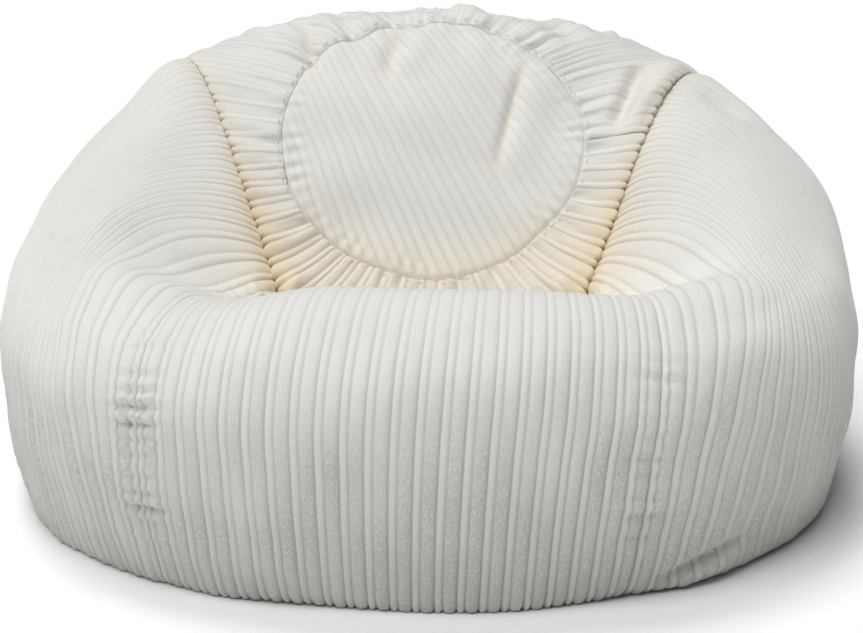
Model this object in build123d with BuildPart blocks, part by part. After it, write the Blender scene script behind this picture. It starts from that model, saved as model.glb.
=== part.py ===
"""Bean bag chair in jumbo corduroy: cover panels, gathered border, zips, liner bag and bead fill.

Units are millimetres, +Z is up and the front of the chair faces -Y.  The origin is the centre of
the flat underside on the floor.
"""
from build123d import *
import math
import os

# ---- overall form -------------------------------------------------------------------------------
HALF_WIDTH = 475.0          # widest half width, at WAIST_Z
HALF_DEPTH = 455.0          # widest half depth, at WAIST_Z
PLAN_POWER = 2.25           # plan outline: 2 is an ellipse, more is squarer
WAIST_Z = 175.0             # height of the widest girth
UNDER_DEPTH = 461.0         # vertical half axis of the round belly under the waist
FRONT_RISE = 418.0          # dome height the front would reach without the seat hollow
BACK_RISE = 545.0           # dome height the back would reach without the seat hollow
SIDE_DROP = 30.0            # how much lower the dome gets towards the left and right arms
DOME_POWER = 2.1            # fullness of the shoulders
SEAT_Y = -130.0             # deepest line of the seat hollow
SEAT_DEPTH = 245.0          # how far the hollow sinks below the dome
SEAT_REACH_FRONT = 150.0    # reach of the hollow towards the front lip
SEAT_REACH_BACK = 225.0     # reach of the hollow up the backrest
SEAT_HALF_WIDTH = 300.0     # half width of the hollow between the arms
RIM_FADE = 0.12             # the hollow fades out over this part of the plan radius

# ---- layers -------------------------------------------------------------------------------------
COVER = 4.0                 # corduroy with its lining, as sewn
BASE_COVER = 3.0            # flat base fabric
LINER_IN = 6.0              # liner bag starts this far inside the cover surface
LINER = 0.9                 # liner cloth
LINER_FLOOR = 5.6           # underside of the liner bag
FILL_IN = 9.0               # bead fill starts this far inside the cover surface
FILL_FLOOR = 7.5            # underside of the bead fill

# ---- seams (plan positions) ---------------------------------------------------------------------
V_FOOT_X = 160.0            # foot of each V seam in the seat
V_FOOT_Y = -115.0
V_TOP_LEFT = 262.0          # where each V seam crosses the back crest
V_TOP_RIGHT = 283.0
V_TOP_Y = 120.0
FRONT_SEAM_LEFT = 272.0     # front panel seams on the front face
FRONT_SEAM_RIGHT = 205.0
FRONT_SEAM_Y = -410.0
REAR_SEAM_Y = 230.0         # border meets the two back panels
REAR_CORNER = 420.0         # the side and back panels' seam heads for this depth at REACH
DISC_RADIUS = 168.0         # round top panel
DISC_Y = 30.0               # its centre, on the backrest slope
REACH = 700.0               # cutting shapes reach past the chair

# ---- zips ---------------------------------------------------------------------------------------
COVER_ZIP_LENGTH = 460.0
LINER_ZIP_LENGTH = 320.0
LINER_ZIP_Y = 110.0
LINER_ZIP_Z = 3.5           # the liner zip is the same stack, this much higher
TAPE_INNER = 2.0
TAPE_OUTER = 16.0
TAPE_Z = 3.0
TAPE = 0.8
COIL_INNER = 0.9
COIL_OUTER = 3.4
COIL_Z = 1.6
SLIDER_LENGTH = 11.0
SLIDER_HALF = 4.8
PLATE = 0.8
PLATE_LOW_Z = 0.4
PLATE_HIGH_Z = 4.2
STOP_LENGTH = 3.0
WINDOW_HALF = 5.5           # slot in the fabric under the chain
COVER_CHAIN = COVER_ZIP_LENGTH - 20.0
LINER_CHAIN = LINER_ZIP_LENGTH - 20.0
END_GAP = 0.5               # slider to stop at each end of its travel

# ---- stitching ----------------------------------------------------------------------------------
STITCH_COUNT = 84
STITCH_LENGTH = 7.0
STITCH_RADIUS = 0.6
STITCH_OUTSIDE = 5.0        # row of stitches outside the round panel's edge

SECTION_COUNT = 19
SECTION_END = 88.0          # last section angle, degrees
OUTLINE_POINTS = 36


def ease(t):
    """Smooth step from 0 to 1."""
    t = min(max(t, 0.0), 1.0)
    return t * t * (3 - 2 * t)


def plan_radius(x, y, inset):
    """0 on the vertical axis, 1 on the widest plan outline of a layer."""
    across = (abs(x) / (HALF_WIDTH - inset)) ** PLAN_POWER
    along = (abs(y) / (HALF_DEPTH - inset)) ** PLAN_POWER
    return (across + along) ** (1 / PLAN_POWER)


def top_height(x, y, inset=0.0):
    """Height of the upper surface: a dome, higher at the back, with the seat pressed into it."""
    r = min(plan_radius(x, y, inset), 1.0)
    rise = FRONT_RISE + (BACK_RISE - FRONT_RISE) * ease((y + 420.0) / 620.0)
    rise -= SIDE_DROP * (x / HALF_WIDTH) ** 2 + inset
    dome = WAIST_Z + (rise - WAIST_Z) * math.sqrt(1 - r ** DOME_POWER)
    reach = SEAT_REACH_FRONT if y < SEAT_Y else SEAT_REACH_BACK
    hollow = SEAT_DEPTH * math.exp(-((y - SEAT_Y) / reach) ** 2)
    hollow *= math.exp(-(abs(x) / SEAT_HALF_WIDTH) ** 3)
    return dome - hollow * ease((1 - r) / RIM_FADE)


def under_height(x, y, inset=0.0):
    """Height of the round belly below the waist."""
    r = min(plan_radius(x, y, inset), 1.0)
    return WAIST_Z - (UNDER_DEPTH - inset) * math.sqrt(1 - r * r)


def outline(x, inset):
    """Closed front-to-back outline of a layer at one x, as a ring of points."""
    share = 1 - (abs(x) / (HALF_WIDTH - inset)) ** PLAN_POWER
    half = (HALF_DEPTH - inset) * share ** (1 / PLAN_POWER)
    ring = []
    for i in range(OUTLINE_POINTS):
        turn = 2 * math.pi * i / OUTLINE_POINTS
        y = half * math.cos(turn)
        height = top_height if math.sin(turn) >= 0 else under_height
        ring.append((y, height(x, y, inset)))
    return ring


def layer(inset, floor):
    """Solid of everything inside one layer surface, cut flat underneath at floor."""
    with BuildPart() as body:
        for i in range(SECTION_COUNT):
            turn = math.radians(SECTION_END * (2 * i / (SECTION_COUNT - 1) - 1))
            x = (HALF_WIDTH - inset) * math.sin(turn)
            with BuildSketch(Plane.YZ.offset(x)):
                with BuildLine():
                    Spline(*outline(x, inset), periodic=True)
                make_face()
        loft()
        split(bisect_by=Plane.XY.offset(floor), keep=Keep.TOP)
    return body.part


def plan_prism(points):
    """Upright cutting prism above the base fabric, through the whole chair."""
    with BuildPart() as prism:
        with BuildSketch(Plane.XY.offset(BASE_COVER)):
            with BuildLine():
                Polyline(*points, close=True)
            make_face()
        extrude(amount=REACH)
    return prism.part


def save(part, name):
    """Label a node and write its STEP file."""
    part.label = name
    export_step(part, f"parts/{name}.step")


os.makedirs("parts", exist_ok=True)

outer_body = layer(0.0, 0.0)
cover_inside = layer(COVER, BASE_COVER)

with BuildPart() as shell:
    add(outer_body)
    add(cover_inside, mode=Mode.SUBTRACT)
cover_shell = shell.part

# ---- plan corners of the panels -----------------------------------------------------------------
foot_left = (-V_FOOT_X, V_FOOT_Y)
foot_right = (V_FOOT_X, V_FOOT_Y)


def along_v(side, top_x, y):
    """Point on a V seam line at a given y."""
    x = V_FOOT_X + (top_x - V_FOOT_X) * (y - V_FOOT_Y) / (V_TOP_Y - V_FOOT_Y)
    return (side * x, y)


def past_front(side, front_x):
    """Point on a front seam line well in front of the chair."""
    step = (front_x - V_FOOT_X) / (V_FOOT_Y - FRONT_SEAM_Y)
    return (side * (V_FOOT_X + step * (V_FOOT_Y + REACH)), -REACH)


rear_left = along_v(-1, V_TOP_LEFT, REAR_SEAM_Y)
rear_right = along_v(1, V_TOP_RIGHT, REAR_SEAM_Y)
front_left = past_front(-1, FRONT_SEAM_LEFT)
front_right = past_front(1, FRONT_SEAM_RIGHT)
corner_left = (-REACH, REAR_CORNER)
corner_right = (REACH, REAR_CORNER)

# ---- the round top panel's cutter, square to the backrest slope ---------------------------------
disc_z = top_height(0, DISC_Y)
slope_rise = top_height(0, DISC_Y + 90) - top_height(0, DISC_Y - 90)
disc_slope = math.degrees(math.atan2(slope_rise, 180.0))
disc_plane = Plane(origin=(0, DISC_Y, disc_z), x_dir=(1, 0, 0), z_dir=(
    0, -math.sin(math.radians(disc_slope)), math.cos(math.radians(disc_slope))))

with BuildPart() as disc_cutter:
    with BuildSketch(disc_plane.offset(-70)):
        Circle(DISC_RADIUS)
    extrude(amount=190)

# ---- cover panels -------------------------------------------------------------------------------
with BuildPart() as front_panel:
    add(cover_shell)
    add(plan_prism([foot_left, foot_right, front_right, front_left]), mode=Mode.INTERSECT)
save(front_panel.part, "front_panel")

with BuildPart() as left_side_panel:
    add(cover_shell)
    add(plan_prism([foot_left, front_left, (-REACH, -REACH), corner_left, rear_left]),
        mode=Mode.INTERSECT)
save(left_side_panel.part, "left_side_panel")

with BuildPart() as right_side_panel:
    add(cover_shell)
    add(plan_prism([foot_right, front_right, (REACH, -REACH), corner_right, rear_right]),
        mode=Mode.INTERSECT)
save(right_side_panel.part, "right_side_panel")

with BuildPart() as left_back_panel:
    add(cover_shell)
    add(plan_prism([rear_left, corner_left, (-REACH, REACH), (0, REACH), (0, REAR_SEAM_Y)]),
        mode=Mode.INTERSECT)
save(left_back_panel.part, "left_back_panel")

with BuildPart() as right_back_panel:
    add(cover_shell)
    add(plan_prism([rear_right, corner_right, (REACH, REACH), (0, REACH), (0, REAR_SEAM_Y)]),
        mode=Mode.INTERSECT)
save(right_back_panel.part, "right_back_panel")

border_prism = plan_prism([foot_left, foot_right, rear_right, rear_left])
with BuildPart() as gathered_border:
    add(cover_shell)
    add(border_prism, mode=Mode.INTERSECT)
    add(disc_cutter.part, mode=Mode.SUBTRACT)
save(gathered_border.part, "gathered_border")

with BuildPart() as round_top_panel:
    add(cover_shell)
    add(border_prism, mode=Mode.INTERSECT)
    add(disc_cutter.part, mode=Mode.INTERSECT)
save(round_top_panel.part, "round_top_panel")

# ---- base in two halves, with the zip window between them ---------------------------------------
with BuildPart() as base_slab:
    add(cover_shell)
    with Locations((0, 0, BASE_COVER / 2)):
        Box(2 * REACH, 2 * REACH, BASE_COVER, mode=Mode.INTERSECT)
        Box(COVER_ZIP_LENGTH, 2 * WINDOW_HALF, BASE_COVER, mode=Mode.SUBTRACT)

with BuildPart() as base_panel_front:
    add(base_slab.part)
    split(bisect_by=Plane.XZ, keep=Keep.TOP)
save(base_panel_front.part, "base_panel_front")

with BuildPart() as base_panel_back:
    add(base_slab.part)
    split(bisect_by=Plane.XZ, keep=Keep.BOTTOM)
save(base_panel_back.part, "base_panel_back")


# ---- zips ---------------------------------------------------------------------------------------
def zip_tape(side, y, z, length):
    """One half of the woven zip tape, with softened edges."""
    with BuildPart() as tape:
        with Locations((0, y + side * (TAPE_INNER + TAPE_OUTER) / 2, z + TAPE_Z + TAPE / 2)):
            Box(length, TAPE_OUTER - TAPE_INNER, TAPE)
        fillet(tape.edges().filter_by(Axis.Z), 1.5)
    return tape.part


def zip_coil(side, y, z, length):
    """One rounded coil row under its tape edge."""
    height = TAPE_Z - COIL_Z
    with BuildPart() as coil:
        with Locations((0, y + side * (COIL_INNER + COIL_OUTER) / 2, z + COIL_Z + height / 2)):
            Box(length, COIL_OUTER - COIL_INNER, height)
        low = coil.edges().filter_by(Axis.X).group_by(Axis.Z)[0]
        fillet(low, 0.55)
    return coil.part


def zip_slider(x, y, z):
    """Locking slider: two plates joined by a post, with side flanges turned towards the tape."""
    with BuildPart() as slider:
        for level in (PLATE_LOW_Z, PLATE_HIGH_Z):
            with BuildSketch(Plane.XY.offset(z + level)):
                with Locations((x, y)):
                    RectangleRounded(SLIDER_LENGTH, 2 * SLIDER_HALF, 2.0)
            extrude(amount=PLATE)
        with BuildSketch(Plane.XY.offset(z + PLATE_LOW_Z + PLATE)):
            for side in (-1, 1):
                with Locations((x, y + side * (SLIDER_HALF - 0.4))):
                    Rectangle(SLIDER_LENGTH - 4.0, 0.8)
        extrude(amount=TAPE_Z - PLATE_LOW_Z - PLATE - 0.4)
        with BuildSketch(Plane.XY.offset(z + PLATE_LOW_Z + PLATE / 2)):
            with Locations((x + SLIDER_LENGTH / 2 - 2.2, y)):
                SlotOverall(3.0, 1.0)
        extrude(amount=PLATE_HIGH_Z - PLATE_LOW_Z)
    return slider.part


def zip_stop(x, y, z, half):
    """Crimped metal stop across one end of a coil row or of both."""
    low = z + COIL_Z - 0.4
    with BuildPart() as stop:
        with Locations((x, y, (low + z + TAPE_Z) / 2)):
            Box(STOP_LENGTH, 2 * half, z + TAPE_Z - low)
        fillet(stop.edges().filter_by(Axis.Z), 0.5)
    return stop.part


def zip_set(prefix, y, z, length, chain):
    """Write the parts of one zip; the slider rests at its closed end, on +X."""
    save(zip_tape(-1, y, z, length), f"{prefix}_zip_tape_front")
    save(zip_tape(1, y, z, length), f"{prefix}_zip_tape_back")
    save(zip_coil(-1, y, z, chain), f"{prefix}_zip_coil_front")
    save(zip_coil(1, y, z, chain), f"{prefix}_zip_coil_back")
    save(zip_slider(chain / 2 - END_GAP - SLIDER_LENGTH / 2, y, z), f"{prefix}_zip_slider")
    end = chain / 2 + STOP_LENGTH / 2
    middle = (COIL_INNER + COIL_OUTER) / 2
    with BuildPart() as top_stops:
        for side in (-1, 1):
            add(zip_stop(end, y + side * middle, z, (COIL_OUTER - COIL_INNER) / 2))
    save(top_stops.part, f"{prefix}_zip_top_stops")
    save(zip_stop(-end, y, z, COIL_OUTER), f"{prefix}_zip_bottom_stop")


zip_set("cover", 0.0, 0.0, COVER_ZIP_LENGTH, COVER_CHAIN)
zip_set("liner", LINER_ZIP_Y, LINER_ZIP_Z, LINER_ZIP_LENGTH, LINER_CHAIN)

# ---- liner bag and bead fill --------------------------------------------------------------------
with BuildPart() as liner_bag:
    add(layer(LINER_IN, LINER_FLOOR))
    add(layer(LINER_IN + LINER, LINER_FLOOR + LINER), mode=Mode.SUBTRACT)
    with Locations((0, LINER_ZIP_Y, LINER_FLOOR + LINER / 2)):
        Box(LINER_ZIP_LENGTH, 2 * WINDOW_HALF, LINER, mode=Mode.SUBTRACT)
save(liner_bag.part, "liner_bag")

with BuildPart() as bead_fill:
    add(layer(FILL_IN, FILL_FLOOR))
    with Locations((0, LINER_ZIP_Y, FILL_FLOOR)):
        Box(LINER_ZIP_LENGTH + 6, 2 * TAPE_OUTER + 6, 3.0, mode=Mode.SUBTRACT)
save(bead_fill.part, "bead_fill")


# ---- topstitch round the round panel ------------------------------------------------------------
def on_surface(turn, radius):
    """Point of the cover surface at one angle and radius about the round panel's centre."""
    low, high = -150.0, 150.0
    for _ in range(40):
        height = (low + high) / 2
        spot = disc_plane.from_local_coords(
            Vector(radius * math.cos(turn), radius * math.sin(turn), height))
        if spot.Z > top_height(spot.X, spot.Y):
            high = height
        else:
            low = height
    return spot


with BuildPart() as border_topstitch:
    for i in range(STITCH_COUNT):
        turn = 2 * math.pi * i / STITCH_COUNT
        step = STITCH_LENGTH / 2 / (DISC_RADIUS + STITCH_OUTSIDE)
        start = on_surface(turn - step, DISC_RADIUS + STITCH_OUTSIDE)
        finish = on_surface(turn + step, DISC_RADIUS + STITCH_OUTSIDE)
        run = finish - start
        with BuildSketch(Plane(origin=start, z_dir=run)):
            Circle(STITCH_RADIUS)
        extrude(amount=run.length)
save(border_topstitch.part, "border_topstitch")
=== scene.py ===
import math

import bpy
import numpy as np
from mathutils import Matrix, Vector


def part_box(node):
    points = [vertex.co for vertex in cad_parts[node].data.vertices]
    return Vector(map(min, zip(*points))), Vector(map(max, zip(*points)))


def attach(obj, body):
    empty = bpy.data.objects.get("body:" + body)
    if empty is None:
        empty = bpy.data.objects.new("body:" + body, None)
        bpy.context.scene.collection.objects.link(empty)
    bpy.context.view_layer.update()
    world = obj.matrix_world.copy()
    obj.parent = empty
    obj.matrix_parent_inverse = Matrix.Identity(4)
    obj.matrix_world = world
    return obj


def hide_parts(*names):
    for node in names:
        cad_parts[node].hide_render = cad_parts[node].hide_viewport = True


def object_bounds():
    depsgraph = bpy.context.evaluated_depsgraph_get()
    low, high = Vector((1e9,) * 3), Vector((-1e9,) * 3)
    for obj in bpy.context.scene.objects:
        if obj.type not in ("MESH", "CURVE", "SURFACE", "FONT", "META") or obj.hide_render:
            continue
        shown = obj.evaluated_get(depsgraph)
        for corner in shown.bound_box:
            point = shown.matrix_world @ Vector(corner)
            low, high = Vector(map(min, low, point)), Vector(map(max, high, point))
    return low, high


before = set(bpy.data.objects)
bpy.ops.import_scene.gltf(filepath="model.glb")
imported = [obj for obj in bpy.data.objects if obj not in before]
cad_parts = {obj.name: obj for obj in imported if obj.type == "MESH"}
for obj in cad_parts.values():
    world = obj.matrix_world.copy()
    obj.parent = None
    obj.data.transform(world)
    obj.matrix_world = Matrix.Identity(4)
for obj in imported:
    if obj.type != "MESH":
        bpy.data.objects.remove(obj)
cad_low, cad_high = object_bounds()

PI = math.pi
frame_box = {name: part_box(name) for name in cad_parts}

# ---- overall form: the same dome, belly and seat hollow as the CAD cover, in metres --------------
HALF_W = (cad_high.x - cad_low.x) / 2
HALF_D = (cad_high.y - cad_low.y) / 2
CREST = cad_high.z
UP = CREST / 0.4814          # everything upright follows the CAD's height
PLAN_POWER = 2.25
WAIST_Z = 0.175 * UP
UNDER = 0.461 * UP
BELLY = 0.62                 # step of the flat map below the waist, so that it runs on smoothly
RHO_BASE = 1 + math.asin(WAIST_Z / UNDER) / (PI / 2 * BELLY)
FOOT_TURN = 0.016            # how far the cover turns under just above the floor

FOOT = (0.160, -0.115)       # foot of each V seam in the seat
V_TOP = {-1: 0.262, 1: 0.283}
V_TOP_Y = 0.12
REAR_Y = 0.23
FRONT_X = {-1: -0.272, 1: 0.205}
DISC_R = 0.168
DISC_Y = 0.030
CLUSTER = 0.72               # rows crowd towards both ends of a wale, for crisp seams
PITCH = 0.0215               # one narrow and one wide wale
WALE = 0.0030                # wale height
NARROW = 0.36                # share of a pair taken by the narrow wale
MID_RHO = 1.05               # just below the waist, where panels are measured across
FLOW_STEPS = 160
FRONT_ROWS, SIDE_ROWS, BACK_ROWS, DISC_ROWS, BORDER_ROWS = 170, 150, 120, 110, 48


def ease(t):
    t = np.clip(t, 0, 1)
    return t * t * (3 - 2 * t)


def top_z(x, y, r):
    rise = (0.418 + 0.127 * ease((y + 0.42) / 0.62) - 0.030 * (x / HALF_W) ** 2) * UP
    dome = WAIST_Z + (rise - WAIST_Z) * np.sqrt(np.clip(1 - r ** 2.1, 0, 1))
    reach = np.where(y < -0.13, 0.150, 0.225)
    hollow = 0.245 * UP * np.exp(-((y + 0.13) / reach) ** 2) * np.exp(-(np.abs(x) / 0.30) ** 3)
    return dome - hollow * ease((1 - r) / 0.12)


def plan_to_flat(x, y):
    cx, cy = np.asarray(x, float) / HALF_W, np.asarray(y, float) / HALF_D
    r = (np.abs(cx) ** PLAN_POWER + np.abs(cy) ** PLAN_POWER) ** (1 / PLAN_POWER)
    rho = 2 / PI * np.arcsin(np.clip(r, 0, 1))
    turn = np.arctan2(cy, cx)
    return np.stack([rho * np.cos(turn), rho * np.sin(turn)], -1)


def body(f):
    """Flat map (..., 2) to points on the smooth cover."""
    rho = np.hypot(f[..., 0], f[..., 1]) + 1e-9
    c, s = f[..., 0] / rho, f[..., 1] / rho
    stretch = (np.abs(c) ** PLAN_POWER + np.abs(s) ** PLAN_POWER) ** (-1 / PLAN_POWER)
    dip = np.clip(rho - 1, 0, None) * PI / 2 * BELLY
    under = np.clip((rho - RHO_BASE + 0.035) / 0.035, 0, 1) ** 2
    r = np.where(rho <= 1, np.sin(PI / 2 * np.minimum(rho, 1)), np.cos(dip) - FOOT_TURN * under)
    x, y = HALF_W * r * stretch * c, HALF_D * r * stretch * s
    z = np.where(rho <= 1, top_z(x, y, np.minimum(r, 1)), WAIST_Z - UNDER * np.sin(dip))
    return np.stack([x, y, z], -1)


def normals(f):
    e = 2e-3
    du = body(f + [e, 0]) - body(f - [e, 0])
    dv = body(f + [0, e]) - body(f - [0, e])
    n = np.cross(du, dv)
    return n / (np.linalg.norm(n, axis=-1, keepdims=True) + 1e-12)


def top_at(x, y):
    cx, cy = np.abs(x) / HALF_W, np.abs(y) / HALF_D
    return top_z(x, y, np.minimum((cx ** PLAN_POWER + cy ** PLAN_POWER) ** (1 / PLAN_POWER), 1))


def waves(p, length, seed, count=14):
    """Smooth random field, about -1 to 1, with one typical wavelength."""
    r = np.random.default_rng(seed)
    k = r.normal(size=(count, 3))
    k *= (2 * PI / length) * r.uniform(0.6, 1.4, (count, 1)) / np.linalg.norm(k, axis=1, keepdims=True)
    phase = r.uniform(0, 2 * PI, count)
    out = np.zeros(p.shape[:-1])
    for i in range(count):
        out += np.sin(p @ k[i] + phase[i])
    return out / math.sqrt(count)


def noise1(s, length, seed):
    r = np.random.default_rng(seed)
    k = 2 * PI / length * r.uniform(0.5, 1.5, 8)
    phase = r.uniform(0, 2 * PI, 8)
    return sum(np.sin(np.asarray(s) * k[i] + phase[i]) for i in range(8)) / 2.8


def dense(points, step=0.002):
    """A 3-D polyline resampled at an even step."""
    points = np.asarray(points, float)
    d = np.r_[0, np.cumsum(np.linalg.norm(np.diff(points, axis=0), axis=1))]
    n = max(int(d[-1] / step), 2)
    s = np.linspace(0, d[-1], n)
    return np.stack([np.interp(s, d, points[:, i]) for i in range(3)], -1), s


def to_line(p, line):
    """Distance to a dense line and how far along it, for every point near it."""
    pts, s = line
    flat = p.reshape(-1, 3)
    d = np.full(len(flat), 9.0)
    a = np.zeros(len(flat))
    near = np.all((flat > pts.min(0) - 0.12) & (flat < pts.max(0) + 0.12), axis=1)
    idx = np.nonzero(near)[0]
    for k in range(0, len(idx), 20000):
        part = idx[k:k + 20000]
        q = flat[part]
        d2 = (q ** 2).sum(1)[:, None] + (pts ** 2).sum(1)[None] - 2 * q @ pts.T
        j = d2.argmin(1)
        d[part] = np.sqrt(np.clip(d2[np.arange(len(part)), j], 0, None))
        a[part] = s[j]
    return d.reshape(p.shape[:-1]), a.reshape(p.shape[:-1])


def bezier(p0, p1, p2, p3, t):
    t = t[..., None]
    return (1 - t) ** 3 * p0 + 3 * (1 - t) ** 2 * t * p1 + 3 * (1 - t) * t ** 2 * p2 + t ** 3 * p3


def flow(p0, p1, p2, p3, rows):
    """Lines in the flat map, one per row of the four control arrays, evenly spaced along the cover."""
    t = np.linspace(0, 1, FLOW_STEPS)
    tt = np.broadcast_to(t, (len(p0), FLOW_STEPS))
    f = bezier(p0[:, None], p1[:, None], p2[:, None], p3[:, None], tt)
    step = np.linalg.norm(np.diff(body(f), axis=1), axis=2)
    s = np.concatenate([np.zeros((len(p0), 1)), np.cumsum(step, 1)], 1)
    want = np.linspace(0, 1, rows)
    want = (1 - CLUSTER) * want + CLUSTER * ease(want)
    out = np.empty((len(p0), rows))
    for i in range(len(p0)):
        out[i] = np.interp(want * s[i, -1], s[i], t) if s[i, -1] > 1e-6 else want
    return bezier(p0[:, None], p1[:, None], p2[:, None], p3[:, None], out), s[:, -1]


def polar(rho, phi):
    return np.stack([rho * np.cos(phi), rho * np.sin(phi)], -1)


# ---- seam lines ----------------------------------------------------------------------------------
def v_x(side, y):
    return side * (FOOT[0] + (V_TOP[side] - FOOT[0]) * (y - FOOT[1]) / (V_TOP_Y - FOOT[1]))


def turn_of(x, y):
    return math.atan2(y / HALF_D, x / HALF_W)


rear = {s: plan_to_flat(v_x(s, REAR_Y), REAR_Y) for s in (-1, 1)}
# where the seams between panels cross the waist and reach the floor
front_waist = {-1: turn_of(-0.271, -0.392), 1: turn_of(0.197, -0.423)}
front_base = {-1: turn_of(-0.266, -0.344), 1: turn_of(0.194, -0.382)}
rear_phi = {-1: math.atan2(0.34, -0.36), 1: math.atan2(0.34, 0.36)}


def even_turns(rho, start, end, share):
    """Angles that divide the cover's girth at rho evenly."""
    fine = np.linspace(start, end, 600)
    run = np.r_[0, np.cumsum(np.linalg.norm(np.diff(body(polar(rho, fine)), axis=0), axis=1))]
    return np.interp(share * run[-1], run, fine), run[-1]


def front_controls(w, waist, base):
    """Control points of front panel lines; w runs 0..1 from the left seam to the right one."""
    p0 = plan_to_flat((2 * w - 1) * FOOT[0], FOOT[1] + 0 * w)
    spread = np.where(w < 0.5, 0.155, 0.125)
    p1 = p0 + np.stack([spread * (2 * w - 1), np.full_like(w, -0.13)], -1)
    return p0, p1, polar(0.86, waist), polar(RHO_BASE, base)


front_edge = {}
for side, w in ((-1, 0.0), (1, 1.0)):
    ends = front_controls(np.array([w]), np.array([front_waist[side]]), np.array([front_base[side]]))
    front_edge[side] = [c[0] for c in ends]


def line3(controls, rows=260):
    f, _ = flow(*[np.asarray(c)[None] for c in controls], rows)
    return dense(body(f[0]))


def plan_line(pts):
    pts = np.asarray(pts, float)
    fine = np.concatenate([np.linspace(pts[i], pts[i + 1], 60) for i in range(len(pts) - 1)])
    return dense(body(plan_to_flat(fine[:, 0], fine[:, 1])))


rear_edge = {s: [rear[s], rear[s] * 1.15, polar(1.1, rear_phi[s]), polar(RHO_BASE, rear_phi[s])]
             for s in (-1, 1)}
back_top = plan_to_flat(0, REAR_Y)
centre_back = [back_top, back_top * 1.2, polar(1.1, PI / 2), polar(RHO_BASE, PI / 2)]

# the round panel lies square to the backrest slope
disc_z = float(top_at(0.0, DISC_Y))
slope = math.atan2(float(top_at(0.0, DISC_Y + 0.09) - top_at(0.0, DISC_Y - 0.09)), 0.18)
disc_c = np.array([0, DISC_Y, disc_z])
disc_u = np.array([1.0, 0, 0])
disc_v = np.array([0, math.cos(slope), math.sin(slope)])
disc_n = np.array([0, -math.sin(slope), math.cos(slope)])


def on_disc(a, b):
    """Flat-map place of the cover surface over local disc coordinates a, b."""
    base = disc_c + np.asarray(a)[..., None] * disc_u + np.asarray(b)[..., None] * disc_v
    lo, hi = np.full(base.shape[:-1], -0.15), np.full(base.shape[:-1], 0.15)
    for _ in range(34):
        mid = (lo + hi) / 2
        q = base + mid[..., None] * disc_n
        above = q[..., 2] > top_at(q[..., 0], q[..., 1])
        hi, lo = np.where(above, mid, hi), np.where(above, lo, mid)
    q = base + lo[..., None] * disc_n
    return plan_to_flat(q[..., 0], q[..., 1])


def disc_reach(turn):
    """Radius of the round panel's sewn edge, a little uneven from the gathering."""
    return DISC_R * (1 + 0.010 * np.sin(3 * turn + 0.6) + 0.008 * np.sin(5 * turn + 2.0)
                     + 0.004 * np.sin(11 * turn))


ring_turn = np.linspace(0, 2 * PI, 721)
ring_reach = disc_reach(ring_turn)
disc_line = dense(body(on_disc(ring_reach * np.cos(ring_turn), ring_reach * np.sin(ring_turn))))

V_LINE = {s: plan_line([(s * FOOT[0], FOOT[1]), (v_x(s, REAR_Y), REAR_Y)]) for s in (-1, 1)}
SEAMS = [
    # line, depth, width, pucker height, pucker pitch
    (V_LINE[-1], 0.0050, 0.011, 0.0000, 0.05),
    (V_LINE[1], 0.0065, 0.012, 0.0000, 0.05),
    (line3(front_edge[-1]), 0.0020, 0.006, 0.0030, 0.021),
    (line3(front_edge[1]), 0.0016, 0.006, 0.0022, 0.021),
    (line3(rear_edge[-1]), 0.006, 0.011, 0.0025, 0.035),
    (line3(rear_edge[1]), 0.006, 0.011, 0.0025, 0.035),
    (line3(centre_back), 0.005, 0.011, 0.0025, 0.030),
    (plan_line([(-FOOT[0], FOOT[1]), (FOOT[0], FOOT[1])]), 0.010, 0.012, 0.0020, 0.03),
    (plan_line([(v_x(-1, REAR_Y), REAR_Y), (v_x(1, REAR_Y), REAR_Y)]), 0.006, 0.012, 0.0020, 0.03),
    (disc_line, 0.0016, 0.0045, 0.0007, 0.020),
]
V_SEAMS, FRONT_SEAMS = (0, 1), (2, 3)      # places in the list above
FOLDS = [
    # plan points, height (minus for a crease), width
    ([(0.108, 0.118), (0.089, 0.057), (0.070, 0.004)], -0.008, 0.0075),
    ([(0.130, 0.105), (0.112, 0.050), (0.094, 0.000)], 0.005, 0.020),
    ([(-0.052, 0.080), (-0.044, 0.112), (-0.036, 0.150)], -0.007, 0.010),
    ([(-0.030, 0.085), (-0.015, 0.125), (-0.008, 0.155)], 0.005, 0.016),
    ([(-0.141, 0.162), (-0.137, 0.125), (-0.130, 0.095)], -0.008, 0.008),
    ([(0.240, 0.130), (0.220, 0.075), (0.200, 0.035)], -0.016, 0.0095),
    ([(0.285, 0.152), (0.252, 0.080), (0.214, 0.030)], 0.011, 0.014),
    ([(0.179, -0.125), (0.250, -0.165), (0.319, -0.197)], -0.005, 0.014),
    ([(-0.425, -0.085), (-0.400, -0.110)], -0.0035, 0.007),
    ([(-0.392, -0.118), (-0.370, -0.138)], -0.0035, 0.006),
    ([(0.200, -0.215), (0.270, -0.240), (0.345, -0.235), (0.400, -0.180)], 0.008, 0.036),
    ([(0.185, -0.125), (0.260, -0.150), (0.340, -0.135)], -0.010, 0.040),
    ([(-0.220, -0.215), (-0.300, -0.225), (-0.385, -0.175)], 0.006, 0.036),
    ([(-0.190, -0.125), (-0.280, -0.140), (-0.350, -0.105)], -0.010, 0.040),
    ([(0.300, 0.130), (0.345, 0.105), (0.380, 0.060)], 0.007, 0.018),
    ([(0.300, 0.085), (0.350, 0.060)], -0.005, 0.014),
]
fold_lines = [(plan_line(p), h, w) for p, h, w in FOLDS]
# the crease low on the right side and the roll under it
low_turn = np.radians(np.linspace(-61, -46, 40))
crease_rho = np.linspace(1.358, 1.290, 40)
fold_lines.append((dense(body(polar(crease_rho, low_turn))), -0.009, 0.0075))
fold_lines.append((dense(body(polar(crease_rho + 0.030, low_turn + 0.02))), 0.006, 0.011))

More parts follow.
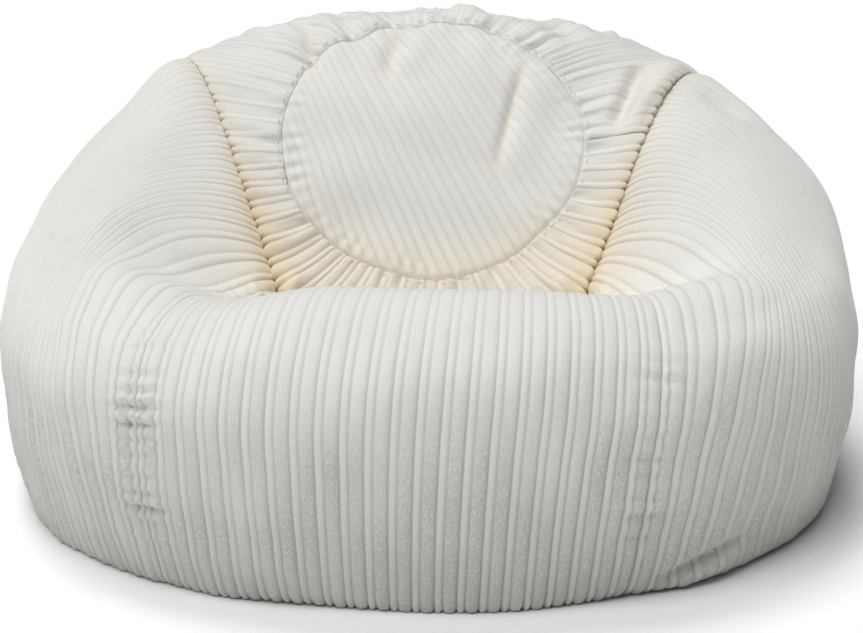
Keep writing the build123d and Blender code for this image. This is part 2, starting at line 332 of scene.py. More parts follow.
# broad fullness and slack, each a place on the cover, a height and a reach
LUMPS = [
    ((-0.17, 0.21), 0.010, 0.15), ((0.03, 0.23), 0.009, 0.05), ((-0.29, 0.13), 0.018, 0.055),
    ((-0.37, 0.05), -0.008, 0.07), ((0.38, 0.03), 0.012, 0.11), ((0.43, 0.06), 0.010, 0.10),
    ((0.09, 0.225), -0.007, 0.03), ((0.20, 0.20), 0.008, 0.06), ((0.30, 0.16), 0.008, 0.05),
]
lump_spots = [(body(plan_to_flat(*spot)), height, reach) for spot, height, reach in LUMPS]
right_waist = body(polar(MID_RHO, 0.05))


def shape(p):
    """Slow relief of the filled cover: lumps, seam valleys with puckers, folds and puffed panels."""
    out = 0.0028 * waves(p, 0.26, 3) + 0.0013 * waves(p, 0.10, 4)
    out += 0.0030 * waves(p, 0.055, 12) * ease((p[..., 2] - 0.43) / 0.04)
    for spot, height, reach in lump_spots:
        out += height * np.exp(-((p - spot) ** 2).sum(-1) / reach ** 2)
    out -= 0.013 * np.exp(-((p - right_waist) ** 2).sum(-1) / 0.20 ** 2)
    for i, (line, depth, width, pucker, pitch) in enumerate(SEAMS):
        d, s = to_line(p, line)
        depth = depth * (1 + 0.12 * noise1(s, 0.08, 40 + i))
        if i in V_SEAMS:
            depth = depth * (0.25 + 0.75 * ease((line[1][-1] - s) / 0.14))
        out -= depth * np.exp(-(d / width) ** 1.35)
        if pucker:
            ripple = noise1(s, pitch, 60 + i)
            if i in FRONT_SEAMS:
                ripple = ripple * ease((p[..., 2] - 0.03) / 0.05) * ease((0.285 - p[..., 2]) / 0.05)
                out += pucker * ripple * (0.30 + 0.70 * ease(d / 0.005)) * np.exp(-(d / 0.025) ** 2)
            else:
                out += pucker * ripple * np.exp(-((d - 0.009) / 0.015) ** 2)
    for line, height, width in fold_lines:
        d, s = to_line(p, line)
        along = s / line[1][-1]
        out += height * np.exp(-(d / width) ** 2) * np.sin(PI * np.clip(along, 0.0, 1.0)) ** 0.9
    local = p - disc_c
    r = np.hypot(local @ disc_u, local @ disc_v) / DISC_R
    front = (local @ disc_n > -0.09) & (p[..., 2] > 0.2)
    out += np.where(front & (r < 1), 0.0035 * (1 - np.clip(r, 0, 1) ** 2.5), 0)
    return out


# ---- wales ---------------------------------------------------------------------------------------
def wale_columns(length, pitch=PITCH, even=False):
    """Across-wale stations: position, height 0..1, wide-wale mark, valley mark."""
    pairs = max(int(round(length / pitch)), 1)
    split = 0.5 if even else NARROW
    shallow = 0.20 if even else 0.22     # floor of the valley inside a pair
    full = 1.7 if even else 2.3          # how square a wale's section is
    w, h, wide, valley = [], [], [], []
    for i in range(pairs):
        for j in range(7):
            t = j / 7
            w.append(i + split * t)
            h.append(0.90 * (1 - abs(2 * t - 1) ** full) ** 0.60)
            wide.append(0.0)
            valley.append((0.8 if even else 1.0) if j == 0 else 0.15 * (j in (1, 6)))
        for j in range(8):
            t = j / 8
            w.append(i + split + (1 - split) * t)
            h.append(max((1 - abs(2 * t - 1) ** (full + 0.2)) ** 0.60, 0.0 if j else shallow))
            wide.append(1.0 if j else 0.5)
            valley.append(0.70 if j == 0 else 0.10 * (j in (1, 7)))
    w.append(pairs)
    h.append(0.0)
    wide.append(0.0)
    valley.append(1.0)
    return np.array(w) / pairs, np.array(h), np.array(wide), np.array(valley)


def make_mesh(name, grid, marks, uv=None, closed=False, flip=False):
    """Quad grid to a smooth mesh object, with float marks on its points."""
    n, m = grid.shape[:2]
    idx = np.arange(n * m).reshape(n, m)
    a, b = idx[:-1, :-1], idx[1:, :-1]
    c, d = idx[1:, 1:], idx[:-1, 1:]
    if closed:
        a = np.vstack([a, idx[-1:, :-1]])
        b = np.vstack([b, idx[:1, :-1]])
        c = np.vstack([c, idx[:1, 1:]])
        d = np.vstack([d, idx[-1:, 1:]])
    quads = np.stack([a, b, c, d] if not flip else [d, c, b, a], -1).reshape(-1, 4)
    mesh = bpy.data.meshes.new(name)
    mesh.vertices.add(n * m)
    mesh.vertices.foreach_set("co", grid.reshape(-1).astype(np.float32))
    mesh.loops.add(quads.size)
    mesh.loops.foreach_set("vertex_index", quads.reshape(-1).astype(np.int32))
    mesh.polygons.add(len(quads))
    mesh.polygons.foreach_set("loop_start", np.arange(0, quads.size, 4, dtype=np.int32))
    mesh.polygons.foreach_set("use_smooth", np.ones(len(quads), bool))
    mesh.update(calc_edges=True)
    mesh.validate()
    for key, value in marks.items():
        layer = mesh.attributes.new(key, "FLOAT", "POINT")
        layer.data.foreach_set("value", np.broadcast_to(value, (n, m)).reshape(-1).astype(np.float32))
    if uv is not None:
        layer = mesh.attributes.new("cloth", "FLOAT_VECTOR", "POINT")
        co = np.zeros((n * m, 3), np.float32)
        co[:, 0] = np.broadcast_to(uv[0], (n, m)).reshape(-1)
        co[:, 1] = np.broadcast_to(uv[1], (n, m)).reshape(-1)
        layer.data.foreach_set("vector", co.reshape(-1))
    obj = bpy.data.objects.new(name, mesh)
    bpy.context.scene.collection.objects.link(obj)
    return obj


def warm_mark(p):
    """How much warm light bounces about: deep V seams and the low part of the seat."""
    out = np.zeros(p.shape[:-1])
    for s in (-1, 1):
        d = to_line(p, V_LINE[s])[0]
        low = 1 - ease((p[..., 2] - 0.25) / 0.20)
        out += ((0.30 + 0.70 * low) * np.exp(-(d / 0.012) ** 1.1)
                + 0.42 * low ** 2 * np.exp(-(d / 0.065) ** 2))
    d = to_line(p, disc_line)[0]
    low = 1 - ease((p[..., 2] - 0.24) / 0.10)
    out += 0.45 * low * (p[..., 1] > -0.2) * np.exp(-(d / 0.05) ** 2)
    for line, height, _ in fold_lines[:6]:
        if height < 0:
            d = to_line(p, line)[0]
            out += 0.28 * np.exp(-(d / 0.005) ** 2)
    return np.clip(out, 0, 1)


def crush_mark(p):
    """Flattened pile: mostly low on the outside, where the chair is handled."""
    low = 1 - ease((p[..., 2] - 0.08) / 0.20)
    return np.clip((0.15 + 0.85 * low) * (0.75 + 0.40 * waves(p, 0.10, 21)), 0, 1)


def foot_shade_mark(p):
    """Painted shade: the cloth darker and greyer towards the floor."""
    return (1 - ease((p[..., 2] - 0.02) / 0.26)) ** 1.3


def seam_gap(p):
    """Distance to the nearer V seam."""
    return np.minimum(to_line(p, V_LINE[-1])[0], to_line(p, V_LINE[1])[0])


def pressed(p):
    """Factor on wale height: tall low down and at the V seams, flat where the chair is sat on.

    Low down the left side is taller than the right one, as in the picture.
    """
    z = np.clip(p[..., 2], 0, None)
    out = 1.25 - 0.45 * ease((z - 0.04) / 0.17) - 0.42 * ease((z - 0.25) / 0.07)
    out += 0.5 * np.exp(-(z / 0.018) ** 1.5)
    out += 0.75 * ease((-0.25 - p[..., 0]) / 0.08) * ease((0.28 - z) / 0.12)
    out -= 0.50 * ease((p[..., 0] - 0.24) / 0.10) * ease((0.32 - z) / 0.08)
    arm = (ease((z - 0.28) / 0.05) * ease((np.abs(p[..., 0]) - 0.20) / 0.07)
           * ease((p[..., 1] + 0.22) / 0.08))
    out -= 0.10 * ease((z - 0.33) / 0.05) + 0.22 * arm
    return out + 0.42 * np.exp(-(seam_gap(p) / 0.030) ** 1.2)


def cloth_panel(name, f, length, w, h, wide, valley, height=WALE, extra=None, flip=False,
                tuck=(0.0, 0.0), strength=1.0, round_edge=False, bulge=None):
    """One corduroy panel: the smooth cover, its slow relief, the wales, and the marks for the cloth."""
    p, n = body(f), normals(f)
    low = shape(p)
    if extra is not None:
        low = low + extra
    tall = height * strength * pressed(p) * (1 + 0.10 * waves(p, 0.05, 8))
    lift = h[:, None] * tall * (1 + 0.06 * waves(p, 0.012, 9) * wide[:, None])
    if round_edge:
        local = p - disc_c
        a, b = local @ disc_u, local @ disc_v
        turned = ease((np.hypot(a, b) - disc_reach(np.arctan2(b, a)) + 0.0035) / 0.0045)
        low = low - DISC_TUCK * turned
        lift = lift * (1 - turned)
    # the sewn ends turn down into their seams
    rows = np.arange(f.shape[1])
    for depth, order in ((tuck[0], rows), (tuck[1], rows[::-1])):
        fall = np.where(order == 0, 1.0, np.where(order == 1, 0.35, np.where(order == 2, 0.10, 0)))
        low = low - depth * fall
        sewn = np.any(depth > 0)
        lift = lift * np.where((order == 0) & sewn, 0.0, np.where((order == 1) & sewn, 0.7, 1.0))
    q = p + n * (low + lift - height * 0.55)[..., None]
    if bulge is not None:
        ends = p[:, -1] - p[:, -5]
        ends /= np.linalg.norm(ends, axis=-1, keepdims=True) + 1e-9
        for row, share in ((-1, 0.5), (-2, 1.0), (-3, 1.0), (-4, 0.85), (-5, 0.65),
                           (-6, 0.45), (-7, 0.25)):
            q[:, row] += ends * (bulge * share * np.clip(h * 1.3 - 0.3, 0, 1))[:, None]
    q[..., 2] = np.maximum(q[..., 2], 0.0004)
    across = w[:, None] * length
    along = np.linspace(0, 1, f.shape[1])[None] * np.linalg.norm(
        np.diff(p[len(p) // 2], axis=0), axis=1).sum()
    # painted shade: dark brown dots in the V seams' crack, at the wale valleys, fading where the seams
    # lie flat over the crest
    needle_shade = (np.exp(-(seam_gap(p) / 0.0032) ** 1.5) * (0.12 + 0.88 * valley[:, None])
              * (1 - 0.85 * ease((p[..., 1] - 0.09) / 0.05)))
    marks = {"wide": wide[:, None],
             # valley mark: painted shade in the wale valleys, half as strong on the upper surfaces
             "valley": valley[:, None] * (1 - 0.50 * ease((p[..., 2] - 0.25) / 0.08)),
             # foot mark: painted shade, darker and greyer towards the floor
             "warm": warm_mark(p), "crush": crush_mark(p), "foot": foot_shade_mark(p), "stitch": needle_shade}
    return make_mesh(name, q, marks, uv=(across, along), flip=flip)


V_TUCK, SEAT_TUCK, DISC_TUCK, REAR_TUCK = 0.0085, 0.005, 0.0018, 0.003


def v_step(p, height, reach):
    """A step at the V seams: the gathered border rides over, the side panels dip under."""
    y = p[..., 1]
    return height * (1 - 0.85 * ease((y - 0.05) / 0.10)) * np.exp(-(seam_gap(p) / reach) ** 2)


def v_tuck(p):
    """The V seams are deep in the seat and lie nearly flat where they pass over the crest."""
    return V_TUCK * (0.10 + 0.90 * (1 - ease((p[:, 1:2] - 0.05) / 0.08)))


# front panel
_, front_length = even_turns(MID_RHO, front_waist[-1], front_waist[1], 0.5)
w, h, wide, valley = wale_columns(front_length)
waist, _ = even_turns(1.0, front_waist[-1], front_waist[1], w)
base, _ = even_turns(RHO_BASE, front_base[-1], front_base[1], w)
f, _ = flow(*front_controls(w, waist, base), FRONT_ROWS)
front_panel = cloth_panel("front_cord_panel", f, front_length, w, h, wide, valley, flip=True,
                          tuck=(SEAT_TUCK, 0.0))

LIP_RHO = 0.64               # where the arms' wales turn down over the edge


def side_controls(side):
    """Lines of one side panel, from the V seam and the rear seam over the arm to the base."""
    rear_end = rear_phi[side] if side > 0 else rear_phi[side] - 2 * PI
    _, total = even_turns(MID_RHO, front_waist[side], rear_end, 0.5)
    w, h, wide, valley = wale_columns(total)
    waist, _ = even_turns(1.0, front_waist[side], rear_end, w)
    base, _ = even_turns(RHO_BASE, front_base[side], rear_end, w)
    base = base + (0.20 if side > 0 else -0.12) * ease(w / 0.28) * (1 - ease((w - 0.28) / 0.72))
    p3 = polar(RHO_BASE, base)
    v_pts, v_s = V_LINE[side]
    v_len = v_s[-1]
    r_pts, r_s = line3(rear_edge[side])
    # wales reach the V seam at close to their own pitch; the rest end in the rear seam
    reach = 0.50
    s_start = np.interp(w * total, [0, reach, total], [0, v_len, v_len + r_s[-1]])
    s_all = np.r_[v_s, v_len + r_s[1:]]
    f_v = plan_to_flat(v_pts[:, 0], v_pts[:, 1])
    f_r, _ = flow(*[np.asarray(c)[None] for c in rear_edge[side]], len(r_pts))
    f_all = np.concatenate([f_v, f_r[0][1:]])
    p0 = np.stack([np.interp(s_start, s_all, f_all[:, 0]), np.interp(s_start, s_all, f_all[:, 1])], -1)
    seam_dir = front_edge[side][1] - front_edge[side][0]
    turn = ease(w * total / 0.09)[:, None]
    gone = ease((w * total - reach * 0.8) / (reach * 0.6))[:, None]
    # straight out from the seam to the edge of the arm, then down the outside
    edge_x = side * np.sqrt(np.clip(LIP_RHO ** 2 - p0[:, 1] ** 2, 0.01, None))
    out = np.stack([(edge_x - p0[:, 0]) * 0.92, 0 * edge_x], -1)
    p1 = p0 + (1 - turn) * seam_dir + turn * (1 - gone) * out + gone * turn * (p3 - p0) * 0.33
    near = polar(0.86 - 0.04 * turn[:, 0], waist)
    p2 = near * (1 - gone) + gone * (p3 - (p3 - p0) * 0.33)
    return (p0, p1, p2, p3), total, (w, h, wide, valley)


sides = {}
for side, name in ((-1, "left_cord_panel"), (1, "right_cord_panel")):
    controls, total, (w, h, wide, valley) = side_controls(side)
    f, _ = flow(*controls, SIDE_ROWS)
    sides[side] = cloth_panel(name, f, total, w, h, wide, valley, flip=side > 0,
                              extra=v_step(body(f), -0.0020, 0.012), tuck=(v_tuck(body(f[:, 0])), 0.0))

# back panels
backs = {}
for side, name in ((-1, "left_back_cord_panel"), (1, "right_back_cord_panel")):
    start, end = PI / 2, rear_phi[side]
    ends = np.linspace(start, end, 300)
    arc = np.r_[0, np.cumsum(np.linalg.norm(np.diff(body(polar(MID_RHO, ends)), axis=0), axis=1))]
    w, h, wide, valley = wale_columns(arc[-1])
    phi, _ = even_turns(RHO_BASE, start, end, w)
    p0 = plan_to_flat(w * v_x(side, REAR_Y), REAR_Y + 0 * w)
    p3 = polar(RHO_BASE, phi)
    p1 = p0 * (1.2 * (1 - w) + 1.15 * w)[:, None]
    p2 = polar(1.1, phi)
    f, _ = flow(p0, p1, p2, p3, BACK_ROWS)
    backs[side] = cloth_panel(name, f, arc[-1], w, h, wide, valley, flip=side < 0, tuck=(REAR_TUCK, 0.0))

# round panel
GAMMA = math.radians(25.5)   # slant of its wales
DISC_WALE = 0.0037
w, h, wide, valley = wale_columns(2 * DISC_R * 0.998, even=True)
disc_edge = DISC_R + 0.0015
c = (2 * w - 1) * disc_edge * 0.9995
turn = GAMMA + 0.15 * c / DISC_R
px, py = c * math.cos(GAMMA), c * math.sin(GAMMA)
dx, dy = -np.sin(turn), np.cos(turn)
pd = px * dx + py * dy
root = np.sqrt(np.clip(pd ** 2 - (px ** 2 + py ** 2 - disc_edge ** 2), 0, None))
t = np.linspace(0, 1, DISC_ROWS)[None]
tau = (-pd - root)[:, None] * (1 - t) + (-pd + root)[:, None] * t
la, lb = px[:, None] + dx[:, None] * tau, py[:, None] + dy[:, None] * tau
uneven = disc_reach(np.arctan2(lb, la)) / DISC_R
f = on_disc(la * uneven, lb * uneven)
round_panel = cloth_panel("round_cord_panel", f, 2 * DISC_R, w, h, wide, valley, height=DISC_WALE,
                          round_edge=True)

# gathered border
corner = [(-FOOT[0], FOOT[1]), (FOOT[0], FOOT[1]),
          (v_x(1, REAR_Y), REAR_Y), (v_x(-1, REAR_Y), REAR_Y)]
RING_POINTS = 4001
BORDER_PITCH = 0.0225
fine_turn = np.linspace(0, 2 * PI, RING_POINTS)
fine_reach = disc_reach(fine_turn)
inner = on_disc(fine_reach * np.cos(fine_turn), fine_reach * np.sin(fine_turn))
inner3 = body(inner)
outer = np.zeros((RING_POINTS, 2))
centre = np.array([0, disc_c[1]])
for k in range(4):
    p, q = np.array(corner[k]), np.array(corner[(k + 1) % 4])
    ray = inner3[:, :2] - centre
    e = q - p
    den = ray[:, 0] * e[1] - ray[:, 1] * e[0]
    den = np.where(np.abs(den) < 1e-9, 1e-9, den)
    a = ((p[0] - centre[0]) * e[1] - (p[1] - centre[1]) * e[0]) / den
    b = ((p[0] - centre[0]) * ray[:, 1] - (p[1] - centre[1]) * ray[:, 0]) / den
    good = (a > 0) & (b >= -1e-6) & (b <= 1 + 1e-6)
    outer[good] = centre + a[good, None] * ray[good]
outer_f = plan_to_flat(outer[:, 0], outer[:, 1])
outer3 = body(outer_f)
run = (np.linalg.norm(np.diff(inner3, axis=0), axis=1)
       + np.linalg.norm(np.diff(outer3, axis=0), axis=1))
run = np.r_[0, np.cumsum(run)] / 2
w, h, wide, valley = wale_columns(run[-1], BORDER_PITCH)
ring_index = np.arange(RING_POINTS)
pick = np.interp(w * run[-1], run, ring_index)
p0 = np.stack([np.interp(pick, ring_index, inner[:, i]) for i in (0, 1)], -1)
p3 = np.stack([np.interp(pick, ring_index, outer_f[:, i]) for i in (0, 1)], -1)
f, _ = flow(p0, p0 + (p3 - p0) / 3, p0 + (p3 - p0) * 2 / 3, p3, BORDER_ROWS)
reach = np.linspace(0, 1, BORDER_ROWS)[None]
around = (w * run[-1])[:, None]
border_p = body(f)
low_ring = 1 - ease((border_p[..., 2] - 0.34) / 0.08)
gather = noise1(around, 0.030, 5) * 0.0016 * np.exp(-(reach / 0.45) ** 2) * ease(reach / 0.12)
gather += v_step(border_p, 0.0028, 0.013)
gather += noise1(around + 0.02 * reach, 0.045, 6) * 0.0012 * ease(reach / 0.2) * ease((1 - reach) / 0.2)
# the rope-like wales bulge out over the V seams, in the seat most of all
overhang = 0.0045 * (1 - 0.8 * ease((border_p[:, -1, 1] - 0.05) / 0.10))
overhang = overhang * (border_p[:, -1, 1] > FOOT[1] + 0.002)
border = cloth_panel("gathered_cord_border", f, run[-1], w, h, wide, valley, extra=gather,
                     tuck=(DISC_TUCK, v_tuck(border_p[:, -1])), strength=0.50 + 0.60 * low_ring,
                     bulge=overhang)


# ---- liner bag and bead fill, under the cover ----------------------------------------------------
def inner_body(name, inset, floor, wrinkle, seed):
    """Body that follows the cover from inside; a small hole is left at the middle of its underside."""
    turns, rings = 260, 120
    rho = np.linspace(0.02, RHO_BASE - 0.03, rings)[None]
    phi = np.linspace(0, 2 * PI, turns, endpoint=False)[:, None]
    f = polar(rho + 0 * phi, phi + 0 * rho)
    p, n = body(f), normals(f)
    q = p + n * (shape(p) - inset + wrinkle * waves(p, 0.03, seed))[..., None]
    q[..., 2] = np.maximum(q[..., 2], floor + 0.001)
    under = q[:, -1:, :] * (np.linspace(1, 0.01, 30)[None, :, None] * [1, 1, 0])
    under[..., 2] = floor + 0.0006 * ease(np.linspace(0, 1, 30) * 3)[None]
    grid = np.concatenate([q, under], 1)
    return make_mesh(name, grid, {}, closed=True)


liner = inner_body("liner_cloth_bag", 0.0170, frame_box["liner_bag"][0].z, 0.0007, 31)
beads = inner_body("bead_filling", 0.0210, frame_box["bead_fill"][0].z + 0.0016, 0.0004, 32)


# ---- underside -----------------------------------------------------------------------------------
def lathe_tube(path, radius, sides=6):
    """Round thread or wire along a dense path."""
    path = np.asarray(path, float)
    t = np.gradient(path, axis=0)
    t /= np.linalg.norm(t, axis=1, keepdims=True) + 1e-12
    up = np.where(np.abs(t[:, 2:3]) > 0.9, [[1.0, 0, 0]], [[0, 0, 1.0]])
    a = np.cross(t, up)
    a /= np.linalg.norm(a, axis=1, keepdims=True)
    b = np.cross(t, a)
    ring = np.linspace(0, 2 * PI, sides, endpoint=False)
    radius = np.broadcast_to(radius, len(path))[:, None, None]
    grid = path[:, None] + radius * (a[:, None] * np.cos(ring)[None, :, None]
                                     + b[:, None] * np.sin(ring)[None, :, None])
    return np.concatenate([grid, grid[:, :1]], 1)


def join_grids(name, grids):
    """Several quad grids as one mesh object."""
    verts, quads, start = [], [], 0
    for g in grids:
        n, m = g.shape[:2]
        idx = start + np.arange(n * m).reshape(n, m)
        verts.append(g.reshape(-1, 3))
        corners = [idx[:-1, :-1], idx[1:, :-1], idx[1:, 1:], idx[:-1, 1:]]
        quads.append(np.stack(corners, -1).reshape(-1, 4))
        start += n * m
    verts, quads = np.concatenate(verts), np.concatenate(quads)
    mesh = bpy.data.meshes.new(name)
    mesh.from_pydata(verts.tolist(), [], quads.tolist())
    mesh.polygons.foreach_set("use_smooth", np.ones(len(quads), bool))
    mesh.update()
    obj = bpy.data.objects.new(name, mesh)
    bpy.context.scene.collection.objects.link(obj)
    return obj


window_x = frame_box["cover_zip_tape_back"][1].x     # half the length of the zip window
rim_phi = np.linspace(0, 2 * PI, 1441)
rim = body(polar(RHO_BASE, rim_phi))[:, :2] * 0.995


def base_half(name, side):
    """Half of the underside: a flat cloth with a folded edge along the zip window."""
    pts = rim[(rim[:, 1] * side) >= 0]
    pts = pts[np.argsort(pts[:, 0])]
    x = np.linspace(pts[0, 0] * 0.9995, pts[-1, 0] * 0.9995, 321)
    far = np.interp(x, pts[:, 0], pts[:, 1])
    gap = np.where(np.abs(x) < window_x - 0.004, 0.0055, 0.0004)
    near = side * gap
    t = ease(np.linspace(0, 1, 90))[None]
    y = near[:, None] * (1 - t) + far[:, None] * t
    xx = x[:, None] + 0 * y
    d = np.abs(y - near[:, None])
    edge = 0.0011 * np.exp(-(d / 0.0016) ** 2)
    low = 0.0003 + edge + 0.0004 * (1 + np.sin(xx * 900) * np.sin(y * 900)) * (d > 0.002) * 0.5
    high = 0.0029 - edge + 0 * y
    under = np.stack([xx, y, low], -1)
    over = np.stack([xx, y, high], -1)[:, ::-1]
    grid = np.concatenate([under, over], 1).transpose(1, 0, 2)
    return make_mesh(name, grid, {}, closed=True, flip=side < 0)


base_front = base_half("base_cloth_front", -1)
base_back = base_half("base_cloth_back", 1)


def tape(name, node_name):
    """Woven zip tape with a corded edge and a fine twill."""
    lo, hi = frame_box[node_name]
    x = np.linspace(lo.x, hi.x, 500)[:, None]
    t = np.linspace(0, 1, 20)[None]
    y = lo.y + (hi.y - lo.y) * t + 0 * x
    thick = (hi.z - lo.z) / 2
    edge = np.sqrt(np.clip(1 - (2 * t - 1) ** 8, 0, 1))
    wave = 0.00008 * np.sin(x * 4200 + t * 18)
    mid = (lo.z + hi.z) / 2
    under = np.stack([x + 0 * y, y, mid - thick * edge + wave], -1)
    over = np.stack([x + 0 * y, y, mid + thick * edge + wave], -1)[:, ::-1]
    grid = np.concatenate([under, over], 1).transpose(1, 0, 2)
    return make_mesh(name, grid, {}, closed=True, flip=True)


COIL_PITCH, COIL_WIRE, COIL_CORE = 0.0016, 0.00034, 0.00055


def coil(name, node_name, side):
    """Nylon coil: a wire wound in flattened turns inside the box of its CAD row."""
    lo, hi = frame_box[node_name]
    pitch, wire = COIL_PITCH, COIL_WIRE
    turns = int((hi.x - lo.x - 0.001) / pitch)
    t = np.linspace(0, turns, turns * 10 + 1)
    ry, rz = (hi.y - lo.y) / 2 - wire, (hi.z - lo.z) / 2 - wire
    path = np.stack([lo.x + 0.0005 + t * pitch, (lo.y + hi.y) / 2 + side * ry * np.cos(2 * PI * t),
                     (lo.z + hi.z) / 2 + rz * np.sin(2 * PI * t)], -1)
    core = np.stack([np.linspace(lo.x, hi.x, 40), np.full(40, (lo.y + hi.y) / 2),
                     np.full(40, (lo.z + hi.z) / 2)], -1)
    return join_grids(name, [lathe_tube(path, wire), lathe_tube(core, COIL_CORE)])


zips = []
for prefix in ("cover", "liner"):
    for where, side in (("front", -1), ("back", 1)):
        tape_node, coil_node = f"{prefix}_zip_tape_{where}", f"{prefix}_zip_coil_{where}"
        zips.append((tape(f"{prefix}_tape_{where}", tape_node), tape_node, "zip_tape"))
        zips.append((coil(f"{prefix}_coil_{where}", coil_node, side), coil_node, "zip_coil"))

# ---- stitching round the round panel -------------------------------------------------------------
STITCH_COUNT = 84
STITCH_HALF = 0.0032         # half the length of a stitch
STITCH_OUT = 0.0046          # from the panel's edge
grids = []
for i in range(STITCH_COUNT):
    mid = 2 * PI * i / STITCH_COUNT
    turn = mid + np.linspace(-STITCH_HALF, STITCH_HALF, 9) / DISC_R
    radius = disc_reach(turn) + STITCH_OUT
    f = on_disc(radius * np.cos(turn), radius * np.sin(turn))
    p, n = body(f), normals(f)
    arch = np.sin(np.linspace(0, PI, 9))
    q = p + n * (shape(p) + 0.0009 * arch)[:, None]
    thick = 0.00045 * np.sqrt(np.clip(1 - np.linspace(-1, 1, 9) ** 6, 0.05, 1))
    grids.append(lathe_tube(q, thick, 7))
stitches = join_grids("border_stitches", grids)


# ---- materials -----------------------------------------------------------------------------------
def new_material(name):
    m = bpy.data.materials.new(name)
    m.use_nodes = True
    m.node_tree.nodes.clear()
    return m, m.node_tree.nodes, m.node_tree.links


def node(nodes, kind, **values):
    n = nodes.new(kind)
    for key, value in values.items():
        if key.startswith("in_"):
            n.inputs[key[3:].replace("_", " ")].default_value = value
        else:
            setattr(n, key, value)
    return n


def mix_color(nodes, links, factor, a, b, blend="MIX"):
    m = nodes.new("ShaderNodeMix")
    m.data_type = "RGBA"
    m.blend_type = blend
    for socket, value in ((m.inputs[0], factor), (m.inputs[6], a), (m.inputs[7], b)):
        if hasattr(value, "is_output"):
            links.new(value, socket)
        else:
            socket.default_value = value
    return m.outputs[2]


def math_node(nodes, links, op, a, b=0.0, clamp=False):
    m = nodes.new("ShaderNodeMath")
    m.operation = op
    m.use_clamp = clamp
    for socket, value in ((m.inputs[0], a), (m.inputs[1], b)):
        if hasattr(value, "is_output"):
            links.new(value, socket)
        else:
            socket.default_value = value
    return m.outputs[0]


CREAM = (0.80, 0.795, 0.768, 1)
VALLEY_SHADE_TONE = (0.55, 0.52, 0.46, 1)
WARM = (0.83, 0.67, 0.42, 1)
CLOUD_TONE = (0.77, 0.76, 0.73, 1)
FOOT_SHADE_TONE = (0.46, 0.445, 0.42, 1)
NAP_TONE = (0.73, 0.715, 0.675, 1)
CRUSH_LIGHT = (0.88, 0.875, 0.86, 1)
CRUSH_DARK = (0.58, 0.57, 0.545, 1)
NEEDLE_SHADE_TONE = (0.24, 0.15, 0.07, 1)


